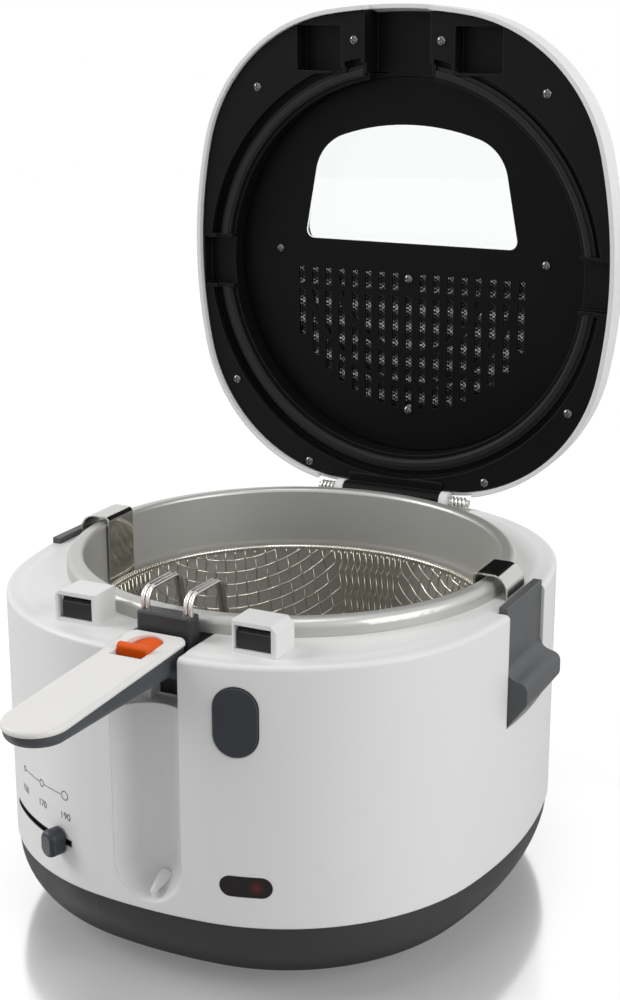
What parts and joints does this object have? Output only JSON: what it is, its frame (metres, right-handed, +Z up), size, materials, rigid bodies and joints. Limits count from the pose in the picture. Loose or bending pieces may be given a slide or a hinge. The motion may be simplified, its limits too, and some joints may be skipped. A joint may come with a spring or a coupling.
{
  "type": "deep fryer",
  "caption": "Rounded countertop deep fryer with a hinged lid, window and filter grille, a lift-out wire basket on a folding handle, a lid button and a temperature slide.",
  "frame": {"origin": "on the table, under the middle of the overall box with the lid open and the handle out", "axes": "+Z up, -Y to the front where the basket handle stands out, +X to the right of someone facing the front"},
  "size_m": [0.294, 0.4346, 0.4662],
  "materials": {
    "body_white": "smooth moulded, soft gloss",
    "lid_white": "smooth moulded, soft gloss",
    "handle_white": "smooth moulded, soft gloss",
    "base_grey": "fine grain",
    "grip_grey": "fine grain",
    "handle_grey": "fine grain",
    "bracket_grey": "smooth",
    "control_grey": "fine grain",
    "latch_black": "smooth",
    "frame_black": "fine grain",
    "plate_black": "fine grain",
    "button_orange": "smooth",
    "bowl_coat": "satin non-stick coat",
    "clip_steel": "polished",
    "wire_steel": "bright drawn wire",
    "mesh_steel": "bright woven wire",
    "pin_steel": "drawn",
    "screw_steel": "plated",
    "window_clear": "clear",
    "lens_smoke": "smoked, clear",
    "foot_rubber": "matt",
    "seal_rubber": "matt",
    "shield_sheet": "bright sheet",
    "element_sheath": "oxidised",
    "insulator": "smooth",
    "filter_metal": "expanded",
    "filter_fibre": "felted"
  },
  "bodies": {
    "housing": {"base_tray": "base_grey", "cord_gland": "base_grey", "rubber_feet": "foot_rubber", "base_screws": "screw_steel", "body_shell": "body_white", "bowl": "bowl_coat", "heat_shield": "shield_sheet", "heating_element": "element_sheath", "thermostat_body": "insulator", "terminal_block": "insulator", "thermal_fuse": "insulator", "pilot_lamp": "insulator", "pilot_lens": "lens_smoke", "slot_backing": "latch_black", "side_handle_right": "grip_grey", "side_handle_left": "grip_grey", "bowl_clip_right": "clip_steel", "bowl_clip_left": "clip_steel", "hinge_pin": "pin_steel", "hinge_spring_right": "pin_steel", "hinge_spring_left": "pin_steel"},
    "lid_button": {"lid_button": "control_grey"},
    "latch": {"latch_bar": "latch_black"},
    "temperature_slide": {"thermostat_knob": "control_grey"},
    "lid": {"lid_shell": "lid_white", "lid_frame": "frame_black", "lid_plate": "plate_black", "window_inner": "window_clear", "window_outer": "window_clear", "filter_mesh": "filter_metal", "filter_pad": "filter_fibre", "lid_seal": "seal_rubber", "frame_screws": "screw_steel", "plate_screws": "screw_steel"},
    "basket": {"basket_mesh": "mesh_steel", "basket_rim": "wire_steel", "hanger_wires": "wire_steel", "handle_bracket": "bracket_grey", "pivot_pin": "pin_steel"},
    "handle": {"handle_upper": "handle_white", "handle_lower": "handle_grey", "handle_screws": "screw_steel"},
    "handle_button": {"handle_button": "button_orange"}
  },
  "joints": [
    {"name": "lid_hinge", "type": "hinge", "parent": "housing", "child": "lid", "pos_m": [0, 0.173, 0.1785], "axis": [-1, 0, 0], "range_deg": [-88.8, 0]},
    {"name": "basket_lift", "type": "slide", "parent": "housing", "child": "basket", "axis": [0, 0, 1], "range_m": [0, 0.14]},
    {"name": "handle_fold", "type": "hinge", "parent": "basket", "child": "handle", "pos_m": [0, -0.108, 0.168], "axis": [-1, 0, 0], "range_deg": [-87, 0]},
    {"name": "handle_catch", "type": "slide", "parent": "handle", "child": "handle_button", "axis": [0, -0.999, -0.0454], "range_m": [0, 0.004], "stiffness_N_per_m": 300, "springref_m": -0.002},
    {"name": "lid_release", "type": "slide", "parent": "housing", "child": "lid_button", "axis": [-0.2538, 0.9673, 0], "range_m": [0, 0.004], "stiffness_N_per_m": 400, "springref_m": -0.002},
    {"name": "latch_draw", "type": "slide", "parent": "housing", "child": "latch", "axis": [0, 1, 0], "range_m": [0, 0.0039]},
    {"name": "temperature_set", "type": "hinge", "parent": "housing", "child": "temperature_slide", "pos_m": [-0.01746, 0.00007, 0.0636], "axis": [0, 0, 1], "range_deg": [-24, 2.3]}
  ],
  "couplings": [
    {"joint": "latch_draw", "follows": "lid_release", "ratio": 0.96}
  ]
}
